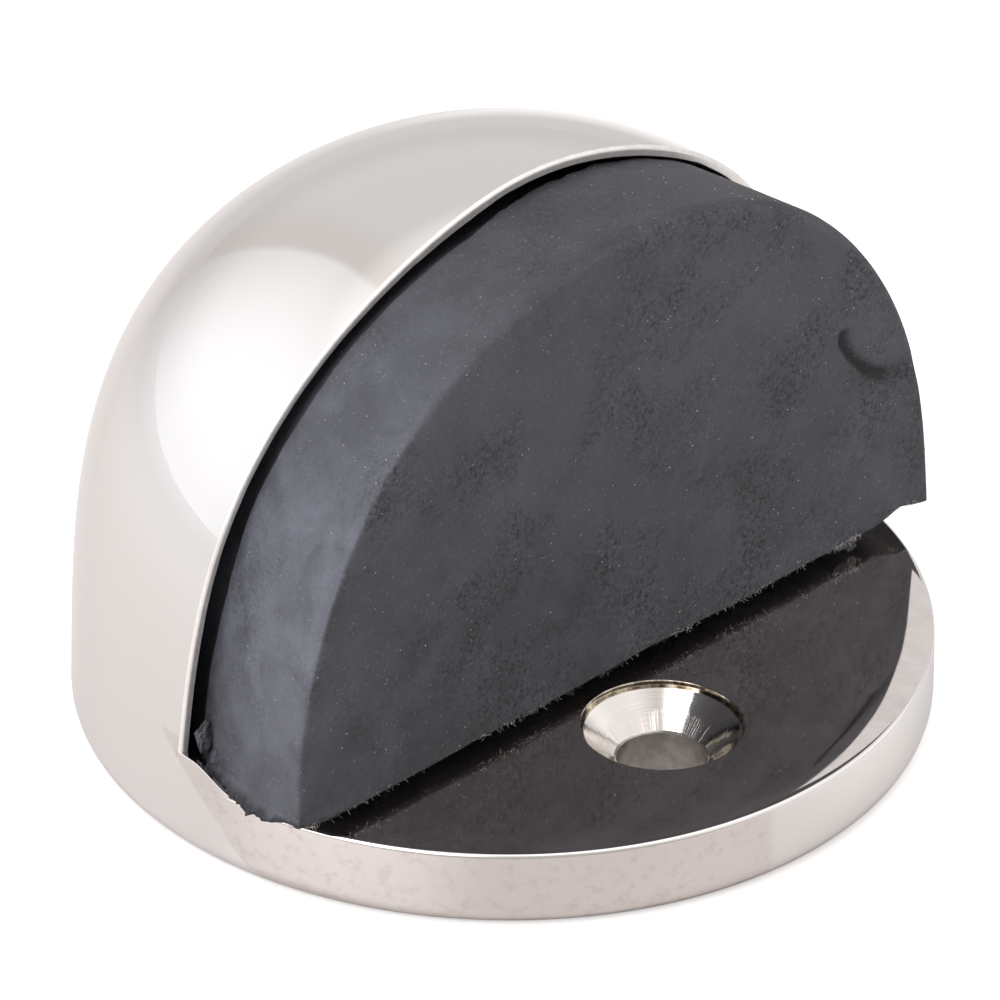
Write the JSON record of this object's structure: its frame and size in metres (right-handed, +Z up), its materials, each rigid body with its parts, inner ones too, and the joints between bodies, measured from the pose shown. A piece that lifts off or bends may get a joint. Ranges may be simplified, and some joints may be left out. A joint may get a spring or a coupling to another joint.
{
  "type": "floor door stop",
  "caption": "Half-dome floor door stop: polished one-piece casting with a countersunk screw flange and a flared rubber buffer facing the door.",
  "frame": {"origin": "centre of the round base on the floor plane", "axes": "+Z up from the floor, -Y towards the door that meets the buffer, +X along the buffer's width"},
  "size_m": [0.047, 0.045, 0.0319],
  "materials": {
    "polished_nickel": "mirror-polished nickel plate on a casting",
    "black_rubber": "matte moulded rubber with a pale bloom"
  },
  "bodies": {
    "root": {"stop_body": "polished_nickel", "rubber_buffer": "black_rubber"}
  },
  "joints": []
}
